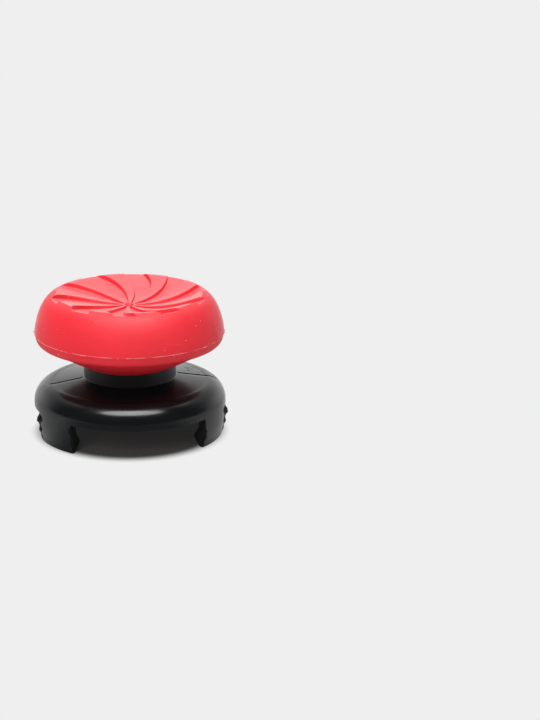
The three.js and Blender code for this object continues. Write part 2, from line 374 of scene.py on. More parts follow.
class HeadForm:
    """The head's section and its tread, worked out from the panel's sizes."""

    # A groove's wall: roundings of its edge that a column lies inside the groove, and its depth
    WALL_OUT = 2.2
    WALL_IN = 1.5
    WALL = (
        (-WALL_OUT, 0), (-1, 0), (-0.3, 0.05), (0, 0.14), (0.45, 0.86), (0.8, 0.96), (WALL_IN, 1),
    )
    # The most of a land or groove that one rounding takes, and the share that its floor rolls over
    WALL_SHARE = 0.1
    FLOOR_ROLL = 0.3
    TREAD_STEPS = 24
    RIM_STEPS = 32
    SHOULDER_STEPS = 26
    FLOOR_COLUMNS = 11
    LAND_COLUMNS = 11
    SIDE_STEPS = 5
    FILLET_STEPS = 8
    SLOPE_STEPS = 10
    LIP_STEPS = 4
    # Shares of the dish's radius between which its rings lie close
    RIM_INNER = 0.94
    RIM_OUTER = 1.13
    # Shares of the radius where the grooves start: the ring inside it, the next one and a limit
    START_INNER = 0.8
    START_OUTER = 1.04
    STARTED = 1.01
    # Shares of the flash line's width and of the rim's draft
    FLASH_FOOT = 0.35
    FLASH_TUCK = 0.05

    def __init__(self, head, tread, clip):
        self.head = head
        self.tread = tread
        self.neck_radius = clip.stem_radius + head.neck_clearance
        self.anchor_top = CLIP_HIGH.z
        self.edge_z = self.shoulder_z(tread.radius)
        self.centre_z = self.edge_z - tread.dish_depth

    def shoulder(self, turn):
        """Radius and height of the shoulder, at a turn of 0 on the flash line."""
        head = self.head
        reach = head.radius - head.crown_radius
        rise = head.crown_z - head.flash_z
        radius = head.crown_radius + reach * math.cos(turn) ** head.round_out
        return radius, head.flash_z + rise * math.sin(turn) ** head.round_up

    def turn_at(self, radius):
        head = self.head
        share = (radius - head.crown_radius) / (head.radius - head.crown_radius)
        return math.acos(max(0.0, share) ** (1 / head.round_out))

    def shoulder_z(self, radius):
        return self.shoulder(self.turn_at(radius))[1]

    def dish(self, radius):
        return self.centre_z + self.tread.dish_depth * (radius / self.tread.radius) ** 2

    def depth(self, radius):
        tread = self.tread
        share = (radius / tread.radius) ** tread.depth_power
        return lerp(tread.start_depth, tread.edge_depth, share)

    def land(self, radius):
        """The dish and then the shoulder, rolled over where they cross."""
        return soft_low(self.dish(radius), self.shoulder_z(radius), self.tread.edge_roll)

    def height(self, radius, share):
        """The tread's height: share is 0 on a land and 1 on a groove's floor."""
        land = self.land(radius)
        roll = self.tread.edge_round * self.FLOOR_ROLL
        floor = soft_low(land, self.dish(radius) - self.depth(radius), roll)
        return lerp(land, floor, share)

    def columns(self):
        """One groove's columns: edge, roundings from it, share to the next edge and depth."""
        near = [("near", steps, 0, depth) for steps, depth in self.WALL]
        far = [("far", -steps, 0, depth) for steps, depth in reversed(self.WALL)]
        floor = [("floor", 0, s, 1) for s in shares(self.FLOOR_COLUMNS)[1:-1]]
        land = [("land", 0, s, 0) for s in shares(self.LAND_COLUMNS)[1:-1]]
        return near + floor + far + land

    def swirl(self, column, index, radius):
        """The angle of one column of one groove at a radius."""
        tread = self.tread
        edge, steps, share, _ = column
        pitch = 2 * math.pi / tread.groove_count
        out = radius / tread.radius
        first = tread.first_angle + index * pitch
        near = first + tread.near_sweep * out ** tread.near_power
        far = first + tread.groove_angle + tread.far_sweep * out ** tread.far_power
        narrow = min(far - near, near + pitch - far)
        unit = min(tread.edge_round / max(radius, tread.boss_radius), narrow * self.WALL_SHARE)
        if edge == "near":
            return near + steps * unit
        if edge == "far":
            return far + steps * unit
        if edge == "floor":
            return lerp(near + self.WALL_IN * unit, far - self.WALL_IN * unit, share)
        return lerp(far + self.WALL_OUT * unit, near + pitch - self.WALL_OUT * unit, share)

    def tread_radii(self):
        """Radii of the rings from the boss to beyond the grooves' run-outs."""
        tread = self.tread
        start, end = tread.start_radius, tread.radius * self.RIM_INNER
        first = [start * self.START_INNER, start, start * self.START_OUTER]
        inner = [lerp(start, end, s) for s in shares(self.TREAD_STEPS)]
        rim = [lerp(end, tread.radius * self.RIM_OUTER, s) for s in shares(self.RIM_STEPS)]
        return first + inner[1:] + rim[1:]

    def tread_row(self, radius):
        """One ring of the tread, land and groove."""
        started = radius > self.tread.start_radius * self.STARTED
        row = []
        for index in range(self.tread.groove_count):
            for column in self.columns():
                height = self.height(radius, column[3] if started else 0)
                row.append(circle_point(radius, self.swirl(column, index, radius), height))
        return row

    def shoulder_row(self, share):
        """One ring of the shoulder: share 0 is the end of the tread's rings, 1 the flash line."""
        columns = self.columns()
        total = self.tread.groove_count * len(columns)
        outer = self.tread.radius * self.RIM_OUTER
        radius, height = self.shoulder(self.turn_at(outer) * (1 - share))
        settled = float(ease(share))
        row = []
        for index in range(self.tread.groove_count):
            for place, column in enumerate(columns):
                even = (index * len(columns) + place) / total * 2 * math.pi
                even += self.swirl(columns[0], 0, self.tread.radius)
                turn = lerp(self.swirl(column, index, outer), even, settled)
                row.append(circle_point(radius, turn, height))
        return row

    def plain_row(self, radius, height, wave=None):
        """One ring of even columns; wave gives how far each stands out."""
        columns = self.columns()
        total = self.tread.groove_count * len(columns)
        first = self.swirl(columns[0], 0, self.tread.radius)
        row = []
        for place in range(total):
            turn = first + place / total * 2 * math.pi
            out = wave(turn) if wave else 0
            row.append(circle_point(radius + out, turn, height))
        return row

    def flash(self, turn):
        """How far the flash line stands out: thin, broken, with a few burrs."""
        head = self.head
        body = FLASH_MEAN
        for strength, fineness, seed in FLASH_WAVES:
            body += strength * ragged(turn, fineness, seed)
        burr = 0.0
        for place, width, height in BURRS:
            off = (math.degrees(turn) - place + 180) % 360 - 180
            burr = max(burr, height * float(ease(1 - abs(off) / width)))
        return head.flash_height * (max(FLASH_LEAST, body) + burr)

    def boss_rows(self):
        rows = []
        for out, up in BOSS_SECTION:
            radius = self.tread.boss_radius * out
            rows.append(self.swirled_row(radius, self.dish(radius) + self.tread.boss_height * up))
        return rows

    def swirled_row(self, radius, height):
        row = []
        for index in range(self.tread.groove_count):
            for column in self.columns():
                row.append(circle_point(radius, self.swirl(column, index, radius), height))
        return row

    def under_rows(self):
        """The rim, underside and neck hole, down from the flash line."""
        head = self.head
        rim = head.radius - head.rim_draft
        tucked = head.radius - head.rim_draft * self.FLASH_TUCK
        below = head.flash_z - head.flash_width / 2
        rim_top = head.rim_lowest_z + head.rim_fillet
        rows = []
        for s in shares(self.SIDE_STEPS):
            rows.append(self.plain_row(lerp(tucked, rim, s), lerp(below, rim_top, s)))
        for s in shares(self.FILLET_STEPS)[1:]:
            turn = s * math.pi / 2
            radius = rim - head.rim_fillet * (1 - math.cos(turn))
            rows.append(self.plain_row(radius, rim_top - head.rim_fillet * math.sin(turn)))
        inner = rim - head.rim_fillet
        lip = self.neck_radius + head.lip_round
        for s in shares(self.SLOPE_STEPS)[1:]:
            height = lerp(head.rim_lowest_z, head.lowest_z, s)
            rows.append(self.plain_row(lerp(inner, lip, s), height))
        for s in shares(self.LIP_STEPS)[1:]:
            turn = s * math.pi / 2
            height = head.lowest_z + head.lip_round * (1 - math.cos(turn))
            rows.append(self.plain_row(lip - head.lip_round * math.sin(turn), height))
        rows.append(self.plain_row(self.neck_radius, head.cavity_z))
        rows.append(self.plain_row(head.cavity_radius, head.cavity_z))
        rows.append(self.plain_row(head.cavity_radius, self.anchor_top))
        rows.append(self.plain_row(head.cavity_radius / 2, self.anchor_top))
        return rows

    def mesh(self):
        head = self.head
        rows = self.boss_rows()
        rows += [self.tread_row(radius) for radius in self.tread_radii()]
        rows += [self.shoulder_row(s) for s in shares(self.SHOULDER_STEPS)[1:-1]]
        width = head.flash_width
        rows.append(self.plain_row(head.radius, head.flash_z + width))
        rows.append(self.plain_row(head.radius, head.flash_z + width * self.FLASH_FOOT))
        rows.append(self.plain_row(head.radius, head.flash_z, self.flash))
        lower = rows[-1:] + self.under_rows()
        patches = Patches()
        patches.fan(rows[0], (0, 0, self.centre_z + self.tread.boss_height))
        patches.grid(rows, closed=True)
        patches.grid(lower, closed=True, slot=1)
        patches.fan(lower[-1], (0, 0, self.anchor_top), slot=1)
        return patches.mesh("moulded_head")


# Clip

# Ragged flash round the prongs' ends: shares of their height, and millimetres that it stands out.
# The ends take these in turn, going round from the front end of the prong on the +X side.
FLASH_EDGES = (
    ((0.0, 0.0), (0.12, 0.05), (0.2, 0.02), (0.4, 0.26), (0.48, 0.18),
     (0.6, 0.24), (0.7, 0.06), (0.8, 0.09), (0.95, 0.02), (1.0, 0.0)),
    ((0.0, 0.0), (0.15, 0.08), (0.28, 0.02), (0.4, 0.2), (0.55, 0.06),
     (0.64, 0.12), (0.72, 0.34), (0.85, 0.26), (0.93, 0.06), (1.0, 0.0)),
    ((0.0, 0.0), (0.1, 0.06), (0.2, 0.02), (0.33, 0.14), (0.45, 0.2), (0.52, 0.05),
     (0.65, 0.1), (0.8, 0.36), (0.9, 0.3), (0.96, 0.08), (1.0, 0.0)),
)


class ClipForm:
    """The clip's section and its prongs, worked out from the panel's sizes."""

    PRONG_LAYERS = 6
    PRONG_STEPS = 22
    END_STEPS = 8
    # Shares of the flash's width: how far the even columns keep clear of a prong's end
    END_CLEAR = 1.3
    GAP_STEPS = 64
    # Columns beside the parting ledge: shares of its fade in front of it and of its width
    FADE_SHARES = (-1.0, -0.75, -0.5, -0.25)
    LEDGE_SHARES = (-1, 1, 4)
    PARTING_CLEAR = 1.2
    STEM_STEPS = 5
    FILLET_STEPS = 6
    DECK_STEPS = 14
    ROUND_STEPS = 28
    SKIRT_STEPS = 4
    CORNER_STEPS = 4
    WALL_STEPS = 9
    HOOK_STEPS = 10
    LEAD_STEPS = 10
    # Share of the flash that its torn end is wider by
    TORN_SHARE = 0.7

    def __init__(self, clip, prong):
        self.clip = clip
        self.prong = prong
        self.socket_radius = clip.radius - clip.wall
        self.foot_radius = clip.radius - clip.foot_inset
        self.deck_inner_z = clip.deck_z + clip.deck_rise

    def skirt(self, height):
        clip = self.clip
        below = max(0.0, 1 - height / clip.widest_z)
        return self.foot_radius + clip.foot_inset * (1 - below ** clip.skirt_bulge)

    def middle(self, index):
        return -math.pi / 2 + (index + 0.5) * 2 * math.pi / self.prong.count

    def prong_turns(self):
        """Columns of one prong, measured from its middle, closer at both ends."""
        half = self.prong.sweep / 2
        unit = self.prong.flash_width / self.clip.radius
        close = [half - unit * s for s in shares(self.END_STEPS)]
        plain = [lerp(-half, half, s) for s in shares(self.PRONG_STEPS)][1:-1]
        inner = [turn for turn in plain if abs(turn) < half - self.END_CLEAR * unit]
        return [-turn for turn in close] + inner + close[::-1]

    def gap_columns(self, index):
        """Columns of the gap that follows a prong: a turn, and how far beside it they run."""
        start = self.middle(index) + self.prong.sweep / 2
        end = self.middle(index + 1) - self.prong.sweep / 2
        columns = [(lerp(start, end, s), 0.0) for s in shares(self.GAP_STEPS)]
        fade = self.clip.parting_fade
        beside = [share * fade for share in self.FADE_SHARES]
        beside += [share * self.clip.parting_width for share in self.LEDGE_SHARES]
        for line, side in ((self.clip.parting_turn, 1), (self.clip.parting_turn + math.pi, -1)):
            if start < line < end:
                clear = self.PARTING_CLEAR * fade / self.clip.stem_radius
                columns = [c for c in columns if abs(c[0] - line) > clear]
                columns += [(line, side * place) for place in beside[::side]]
        return sorted(columns)

    def columns(self):
        """All columns round the clip, each once."""
        ring = []
        for index in range(self.prong.count):
            ring += [(self.middle(index) + turn, 0.0) for turn in self.prong_turns()]
            ring += self.gap_columns(index)[1:-1]
        return ring

    def row(self, radius, height, dip=0.0):
        """One ring; dip is the share of the parting line's depth that it carries."""
        points = []
        for turn, beside in self.columns():
            angle = turn + beside / radius
            lowered = height - dip * self.parting(radius, angle)
            points.append(circle_point(radius, angle, lowered))
        return points

    def parting(self, radius, turn):
        """How far the deck dips on the -Y side of the parting ledge."""
        clip = self.clip
        front = -radius * math.sin(turn - clip.parting_turn)
        if front < 0:
            return 0.0
        return clip.parting_depth * float(ease(1 - front / clip.parting_fade))

    def top_rows(self):
        """From the anchor disc down over the deck to the roots of the prongs."""
        clip = self.clip
        top = CLIP_HIGH.z
        rows = [
            self.row(clip.anchor_radius / 2, top),
            self.row(clip.anchor_radius, top),
            self.row(clip.anchor_radius, clip.anchor_z),
            self.row(clip.stem_radius, clip.anchor_z),
        ]
        fillet_top = self.deck_inner_z + clip.stem_fillet
        for s in shares(self.STEM_STEPS)[1:]:
            rows.append(self.row(clip.stem_radius, lerp(clip.anchor_z, fillet_top, s)))
        for s in shares(self.FILLET_STEPS)[1:]:
            turn = s * math.pi / 2
            radius = clip.stem_radius + clip.stem_fillet * (1 - math.cos(turn))
            rows.append(self.row(radius, fillet_top - clip.stem_fillet * math.sin(turn)))
        start = clip.stem_radius + clip.stem_fillet
        for s in shares(self.DECK_STEPS)[1:]:
            height = lerp(self.deck_inner_z, clip.deck_z, s)
            rows.append(self.row(lerp(start, clip.deck_radius, s), height, 1))
        for s in shares(self.ROUND_STEPS)[1:]:
            turn = (1 - s) * math.pi / 2
            radius = lerp(clip.deck_radius, clip.radius, math.cos(turn) ** clip.round_out)
            height = lerp(clip.widest_z, clip.deck_z, math.sin(turn) ** clip.round_up)
            rows.append(self.row(radius, height, 1 - s))
        for s in shares(self.SKIRT_STEPS)[1:]:
            height = lerp(clip.widest_z, self.prong.height, s)
            rows.append(self.row(self.skirt(height), height))
        return rows

    def socket_rows(self):
        """From the prongs' roots up the inside of the skirt and across the ceiling."""
        clip = self.clip
        rows = [self.row(self.socket_radius, self.prong.height)]
        top = clip.socket_depth - clip.socket_corner
        rows.append(self.row(self.socket_radius, top))
        for s in shares(self.CORNER_STEPS)[1:]:
            turn = s * math.pi / 2
            radius = self.socket_radius - clip.socket_corner * (1 - math.cos(turn))
            rows.append(self.row(radius, top + clip.socket_corner * math.sin(turn)))
        rows.append(self.row(self.socket_radius / 2, clip.socket_depth))
        return rows

    def inner_radius(self, height):
        """The inside of a prong: the lead-in, the hook and the wall above it."""
        clip = self.clip
        tip = self.socket_radius - clip.barb_reach
        if height <= clip.barb_tip_z:
            return lerp(self.foot_radius - clip.foot_width, tip, height / clip.barb_tip_z)
        if height <= clip.barb_top_z:
            share = (height - clip.barb_tip_z) / (clip.barb_top_z - clip.barb_tip_z)
            return lerp(tip, self.socket_radius, share)
        return self.socket_radius

    def prong_heights(self):
        """Heights of a prong's rows, with one at the hook's tip and one at its top."""
        clip, prong = self.clip, self.prong
        upper = [lerp(prong.height, clip.barb_top_z, s) for s in shares(self.WALL_STEPS)]
        hook = [lerp(clip.barb_top_z, clip.barb_tip_z, s) for s in shares(self.HOOK_STEPS)][1:]
        lower = [lerp(clip.barb_tip_z, 0, s) for s in shares(self.LEAD_STEPS)][1:]
        return upper + hook + lower

    def flash_at(self, index, turn, height):
        """How far the flash stands out at a place, and how far the place lies inside a torn end."""
        half = self.prong.sweep / 2
        edge = FLASH_EDGES[(2 * index + (1 if turn > 0 else 0)) % len(FLASH_EDGES)]
        up, reach = zip(*edge)
        out = float(np.interp(height / self.prong.height, up, reach)) * MM
        torn = self.prong.torn_width + self.TORN_SHARE * out
        inside = torn - (half - abs(turn)) * self.clip.radius
        return out * float(ease(inside / (torn / 2))), inside

    def prong_section(self, index, turn):
        """Points through a prong at one column: rows from root to foot, layers from out to in."""
        grid = []
        angle = self.middle(index) + turn
        for height in self.prong_heights():
            outer = self.skirt(height) + self.flash_at(index, turn, height)[0]
            inner = self.inner_radius(height)
            grid.append([
                circle_point(lerp(outer, inner, layer), angle, height)
                for layer in shares(self.PRONG_LAYERS)
            ])
        return grid

    def torn_faces(self, index):
        """For each face of a prong's outside, whether it belongs to a torn end."""
        turns, heights = self.prong_turns(), self.prong_heights()
        faces = []
        for above, below in zip(heights, heights[1:]):
            for left, right in zip(turns, turns[1:]):
                middle = ((left + right) / 2, (above + below) / 2)
                faces.append(self.flash_at(index, *middle)[1] > 0)
        return faces

    def add_prong(self, patches, index):
        sections = [self.prong_section(index, turn) for turn in self.prong_turns()]
        rows = range(len(sections[0]))
        layers = range(self.PRONG_LAYERS + 1)
        outside = [[section[row][0] for section in sections] for row in rows]
        patches.grid(outside, torn=self.torn_faces(index))
        patches.grid([[section[-1][layer] for section in sections] for layer in layers])
        patches.grid([[section[row][-1] for section in sections] for row in rows])
        patches.grid(sections[0], slot=1)
        patches.grid(sections[-1], slot=1)

    def add_gap(self, patches, index):
        height = self.prong.height
        rows = []
        for layer in shares(self.PRONG_LAYERS):
            radius = lerp(self.skirt(height), self.socket_radius, layer)
            rows.append([circle_point(radius, turn + beside / radius, height)
                         for turn, beside in self.gap_columns(index)])
        patches.grid(rows)

    def mesh(self):
        patches = Patches()
        top = self.top_rows()
        socket = self.socket_rows()
        patches.fan(top[0], (0, 0, CLIP_HIGH.z))
        patches.grid(top, closed=True)
        for index in range(self.prong.count):
            self.add_prong(patches, index)
            self.add_gap(patches, index)
        patches.grid(socket, closed=True)
        patches.fan(socket[-1], (0, 0, self.clip.socket_depth))
        return patches.mesh("moulded_clip")


# Shader nodes

def add_node(tree, kind, inputs=None, **settings):
    """One shader node; its inputs are given as values or as other nodes' outputs."""
    node = tree.nodes.new(kind)
    for name, value in settings.items():
        setattr(node, name, value)
    for name, value in (inputs or {}).items():
        socket = node.inputs[name]
        if isinstance(value, bpy.types.NodeSocket):
            tree.links.new(value, socket)
        else:
            socket.default_value = value
    return node


def calculate(tree, operation, *values):
    """The output of one Math node."""
    return add_node(tree, "ShaderNodeMath", dict(enumerate(values)), operation=operation).outputs[0]


def vector(tree, operation, first, second=(0, 0, 0)):
    """One Vector Math node."""
    return add_node(tree, "ShaderNodeVectorMath", {0: first, 1: second}, operation=operation)


def height_of(tree, place):
    """The Z of a vector."""
    return add_node(tree, "ShaderNodeSeparateXYZ", {"Vector": place}).outputs["Z"]


def band(tree, value, low, high):
    """0 below low and 1 above high, or the other way round, with a smooth slope between."""
    node = add_node(
        tree, "ShaderNodeMapRange", {"Value": value, "From Min": low, "From Max": high},
        interpolation_type="SMOOTHSTEP",
    )
    return node.outputs["Result"]


def mixed(tree, share, first, second):
    """The output of one colour mix."""
    node = add_node(tree, "ShaderNodeMix", {0: share, 6: first, 7: second}, data_type="RGBA")
    return node.outputs[2]


def outward(tree, place):
    """The level way from the grip's axis to a place, one unit long."""
    level = vector(tree, "MULTIPLY", place, (1, 1, 0)).outputs[0]
    return vector(tree, "NORMALIZE", level).outputs[0]


def effect_group(name, inputs, outputs):
    """An empty shader node group with named inputs and outputs."""
    tree = bpy.data.node_groups.new(name, "ShaderNodeTree")
    for label, kind, default in inputs:
        socket = tree.interface.new_socket(label, in_out="INPUT", socket_type=kind)
        socket.default_value = default
    for label, kind in outputs:
        tree.interface.new_socket(label, in_out="OUTPUT", socket_type=kind)
    return tree, tree.nodes.new("NodeGroupInput"), tree.nodes.new("NodeGroupOutput")


# Share of a speck's radius that is solid
SPECK_CORE = 0.55


def dust_group():
    """Sparse specks of one size, strewn over a surface."""
    tree, given, result = effect_group(
        "Dust specks",
        [
            ("Place", "NodeSocketVector", (0, 0, 0)),
            ("Spacing", "NodeSocketFloat", 1.1 * MM),
            ("Speck", "NodeSocketFloat", 0.05 * MM),
            ("Share", "NodeSocketFloat", 0.5),
        ],
        [("Mask", "NodeSocketFloat")],
    )
    per_metre = calculate(tree, "DIVIDE", 1.0, given.outputs["Spacing"])
    cells = add_node(
        tree, "ShaderNodeTexVoronoi",
        {"Vector": given.outputs["Place"], "Scale": per_metre},
    )
    distance = calculate(tree, "MULTIPLY", cells.outputs["Distance"], given.outputs["Spacing"])
    core = calculate(tree, "MULTIPLY", given.outputs["Speck"], SPECK_CORE)
    speck = band(tree, distance, given.outputs["Speck"], core)
    parts = add_node(tree, "ShaderNodeSeparateColor", {"Color": cells.outputs["Color"]})
    chosen = calculate(tree, "LESS_THAN", parts.outputs[0], given.outputs["Share"])
    tree.links.new(calculate(tree, "MULTIPLY", speck, chosen), result.inputs["Mask"])
    return tree


# Scratches come in patches: their fineness beside the scratches' spacing, and their soft border
PATCH_FINENESS = 2.3
PATCH_BORDER = 0.05


def scratch_group():
    """Short hair-thin scratches that bend a little."""
    tree, given, result = effect_group(
        "Handling scratches",
        [
            ("Place", "NodeSocketVector", (0, 0, 0)),
            ("Spacing", "NodeSocketFloat", 3 * MM),
            ("Width", "NodeSocketFloat", 0.01),
            ("Share", "NodeSocketFloat", 0.4),
        ],
        [("Mask", "NodeSocketFloat")],
    )
    per_metre = calculate(tree, "DIVIDE", 1.0, given.outputs["Spacing"])
    lines = add_node(
        tree, "ShaderNodeTexNoise",
        {"Vector": given.outputs["Place"], "Scale": per_metre, "Detail": 1.0, "Distortion": 1.2},
    )
    off = calculate(tree, "ABSOLUTE", calculate(tree, "SUBTRACT", lines.outputs["Fac"], 0.5))
    line = band(tree, off, given.outputs["Width"], 0.0)
    patch_scale = calculate(tree, "MULTIPLY", per_metre, PATCH_FINENESS)
    patches = add_node(
        tree, "ShaderNodeTexNoise",
        {"Vector": given.outputs["Place"], "Scale": patch_scale, "Detail": 2.0},
    )
    rest = calculate(tree, "SUBTRACT", 1.0, given.outputs["Share"])
    soft = calculate(tree, "ADD", rest, PATCH_BORDER)
    kept = band(tree, patches.outputs["Fac"], rest, soft)
    tree.links.new(calculate(tree, "MULTIPLY", line, kept), result.inputs["Mask"])
    return tree


# Noise levels between which the broad patches come in
PATCH_LOW, PATCH_HIGH = 0.35, 0.65


def grain_group():
    """The fine grain of a moulding: a height for bumps, and broad patches for colour."""
    tree, given, result = effect_group(
        "Moulding grain",
        [
            ("Place", "NodeSocketVector", (0, 0, 0)),
            ("Grain", "NodeSocketFloat", 0.12 * MM),
            ("Patch", "NodeSocketFloat", 4 * MM),
        ],
        [("Height", "NodeSocketFloat"), ("Patches", "NodeSocketFloat")],
    )
    per_grain = calculate(tree, "DIVIDE", 1.0, given.outputs["Grain"])
    per_patch = calculate(tree, "DIVIDE", 1.0, given.outputs["Patch"])
    fine = add_node(
        tree, "ShaderNodeTexNoise",
        {"Vector": given.outputs["Place"], "Scale": per_grain, "Detail": 3.0},
    )
    broad = add_node(
        tree, "ShaderNodeTexNoise",
        {"Vector": given.outputs["Place"], "Scale": per_patch, "Detail": 4.0, "Roughness": 0.6},
    )
    tree.links.new(fine.outputs["Fac"], result.inputs["Height"])
    patches = band(tree, broad.outputs["Fac"], PATCH_LOW, PATCH_HIGH)
    tree.links.new(patches, result.inputs["Patches"])
    return tree


# Materials

# How far the roughness drops and rises with the patches
SMOOTHER, ROUGHER = 0.03, 0.04

# The painted sheen, a paler colour that stands in for the backdrop mirrored at a slant, and the
# smooth skin, by how far a surface faces up
PAINTED_SHEEN_SLOPE = (0.6, 0.97)
SKIN_SLOPE = (0.86, 0.94)
# The dish leans in to the axis, and the shoulder out: where one gives way to the other
DISH_LEAN = (0.14, 0.04)
# Share of the painted sheen that the shoulder has
SHOULDER_PAINTED_SHEEN = 0.35
# Painted shade: how much darker the lower half is where other surfaces mirror it
MIRRORED_PAINTED_SHADE = 0.6

# Strength of what lies on the rubber
SPECK_STRENGTH = 0.7
HAIR_STRENGTH = 0.25
LINE_STRENGTH = 0.42
# The flash line: shares of its width, size of its gaps, and the noise levels of its gaps
LINE_EDGE, LINE_CORE = 0.5, 0.15
LINE_GAP = 1.1 * MM
LINE_LEVELS = (0.42, 0.56)

# The plastic: size of its grain, strength of its dust and its scuffs, and the grain's share of them
PLASTIC_GRAIN = 0.3 * MM
PLASTIC_DUST = 0.12
SCUFF_ROUGHNESS = 0.7
GRAIN_SHARE = 0.06
# Heights above the stem's foot between which its duller finish comes in
STEM_FROM, STEM_FULL = 0.02 * MM, 0.1 * MM
# Size of the patches on the torn ends
TORN_PATCH = 0.5 * MM


def place_effects(tree, groups, values):
    """The shared effects in one material, each with the material's own values."""
    place = add_node(tree, "ShaderNodeTexCoord").outputs["Object"]
    placed = {}
    for key, inputs in values.items():
        node = add_node(tree, "ShaderNodeGroup", {"Place": place, **inputs}, node_tree=groups[key])
        placed[key] = node.outputs
    return place, placed


def blank_material(name):
    material = bpy.data.materials.new(name)
    material.use_nodes = True
    tree = material.node_tree
    return material, tree, tree.nodes["Principled BSDF"]


def opaque(rgb):
    return (*rgb, 1)


def rough_by_patches(tree, patches, roughness):
    """A roughness that the broad patches change a little."""
    node = add_node(
        tree, "ShaderNodeMapRange",
        {"Value": patches, "To Min": roughness - SMOOTHER, "To Max": roughness + ROUGHER},
    )
    return node.outputs["Result"]


def bumped(tree, shader, height, strength, distance):
    """Bumps the shader's surface by a height."""
    bump = add_node(
        tree, "ShaderNodeBump", {"Height": height, "Strength": strength, "Distance": distance}
    )
    tree.links.new(bump.outputs["Normal"], shader.inputs["Normal"])


def add_painted_sheen(tree, shader, finish, place, tint):
    """The painted sheen, a paler colour mixed into the upward faces, and the smooth skin of the
    dish that goes with it.
    """
    normal = add_node(tree, "ShaderNodeNewGeometry").outputs["Normal"]
    upward = height_of(tree, normal)
    lean = vector(tree, "DOT_PRODUCT", normal, outward(tree, place)).outputs["Value"]
    dished = band(tree, lean, *DISH_LEAN)
    kept = calculate(tree, "MULTIPLY_ADD", dished, 1 - SHOULDER_PAINTED_SHEEN, SHOULDER_PAINTED_SHEEN)
    share = calculate(tree, "MULTIPLY", band(tree, upward, *PAINTED_SHEEN_SLOPE), kept)
    share = calculate(tree, "MULTIPLY", share, finish.painted_sheen)
    skin = calculate(tree, "MULTIPLY", band(tree, upward, *SKIN_SLOPE), dished)
    tree.links.new(skin, shader.inputs["Coat Weight"])
    shader.inputs["Coat Roughness"].default_value = finish.skin_roughness
    shader.inputs["Coat IOR"].default_value = finish.skin_ior
    shader.inputs["Sheen Weight"].default_value = finish.sheen
    shader.inputs["Sheen Roughness"].default_value = finish.sheen_roughness
    return mixed(tree, share, tint, opaque(finish.rubber_painted_sheen))


def flash_line(tree, place, head):
    """A pale, broken line at the head's widest place."""
    off = calculate(tree, "SUBTRACT", height_of(tree, place), head.flash_z)
    away = calculate(tree, "ABSOLUTE", off)
    line = band(tree, away, head.flash_width * LINE_EDGE, head.flash_width * LINE_CORE)
    gaps = add_node(
        tree, "ShaderNodeTexNoise", {"Vector": place, "Scale": 1 / LINE_GAP, "Detail": 2.0}
    )
    return calculate(tree, "MULTIPLY", line, band(tree, gaps.outputs["Fac"], *LINE_LEVELS))


def rubber_material(name, finish, wear, head, groups, upper):
    """Satin moulded rubber with dust specks, hair scratches and a pale, broken flash line. The
    upper half has a painted sheen on its upward faces, and the lower half has a painted shade where
    gloss mirrors it.
    """
    material, tree, shader = blank_material(name)
    place, placed = place_effects(tree, groups, {
        "grain": {},
        "dust": {"Spacing": wear.rubber_spacing, "Speck": wear.rubber_speck,
                 "Share": wear.rubber_share},
        "scratches": {"Spacing": wear.rubber_hair_spacing, "Width": wear.rubber_hair_width,
                      "Share": wear.rubber_hair_share},
    })
    patches = placed["grain"]["Patches"]
    tint = mixed(tree, patches, opaque(finish.rubber), opaque(finish.rubber_dark))
    if upper:
        # The upper half gets the painted sheen on its upward faces
        tint = add_painted_sheen(tree, shader, finish, place, tint)
    else:
        # Painted shade: the lower half is darkened where gloss mirrors it
        mirrored = add_node(tree, "ShaderNodeLightPath").outputs["Is Glossy Ray"]
        painted_shade = calculate(tree, "MULTIPLY", mirrored, MIRRORED_PAINTED_SHADE)
        tint = mixed(tree, painted_shade, tint, opaque((0, 0, 0)))
    pale = calculate(tree, "MULTIPLY", placed["dust"]["Mask"], SPECK_STRENGTH)
    hair = calculate(tree, "MULTIPLY", placed["scratches"]["Mask"], HAIR_STRENGTH)
    line = calculate(tree, "MULTIPLY", flash_line(tree, place, head), LINE_STRENGTH)
    for more in (hair, line):
        pale = calculate(tree, "MAXIMUM", pale, more)
    tree.links.new(mixed(tree, pale, tint, opaque(finish.dust)), shader.inputs["Base Color"])
    rough = rough_by_patches(tree, patches, finish.rubber_roughness)
    tree.links.new(rough, shader.inputs["Roughness"])
    bumped(tree, shader, placed["grain"]["Height"], strength=0.25, distance=0.02 * MM)
    return material


